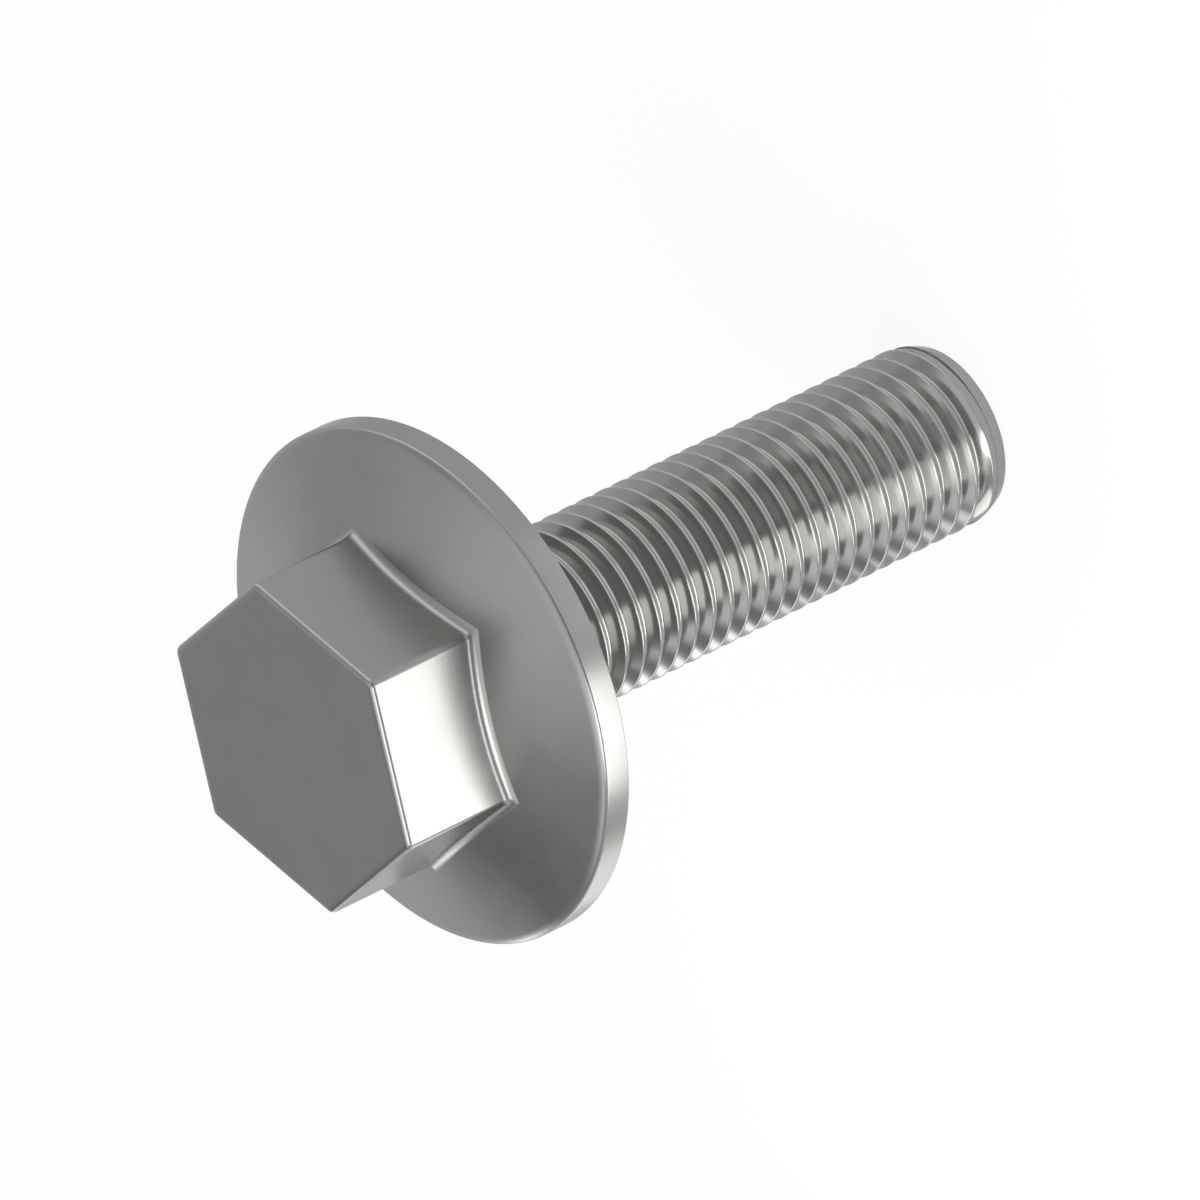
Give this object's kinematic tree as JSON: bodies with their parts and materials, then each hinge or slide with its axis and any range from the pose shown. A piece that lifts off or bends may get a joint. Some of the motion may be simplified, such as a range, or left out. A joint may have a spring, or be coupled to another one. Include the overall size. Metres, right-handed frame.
{
  "type": "self-tapping screw",
  "caption": "Hexagon head self-tapping screw with a wide conical flange, a fine right-hand thread along the shank and a flat chamfered end.",
  "frame": {"origin": "centre of the bearing face under the flange, on the screw axis", "axes": "+Z along the screw axis from the flat end to the top of the head; +X through the middle of one flat of the hexagon"},
  "size_m": [0.0286, 0.0286, 0.0452],
  "materials": {
    "steel": "satin"
  },
  "bodies": {
    "root": {"screw": "steel"}
  },
  "joints": []
}
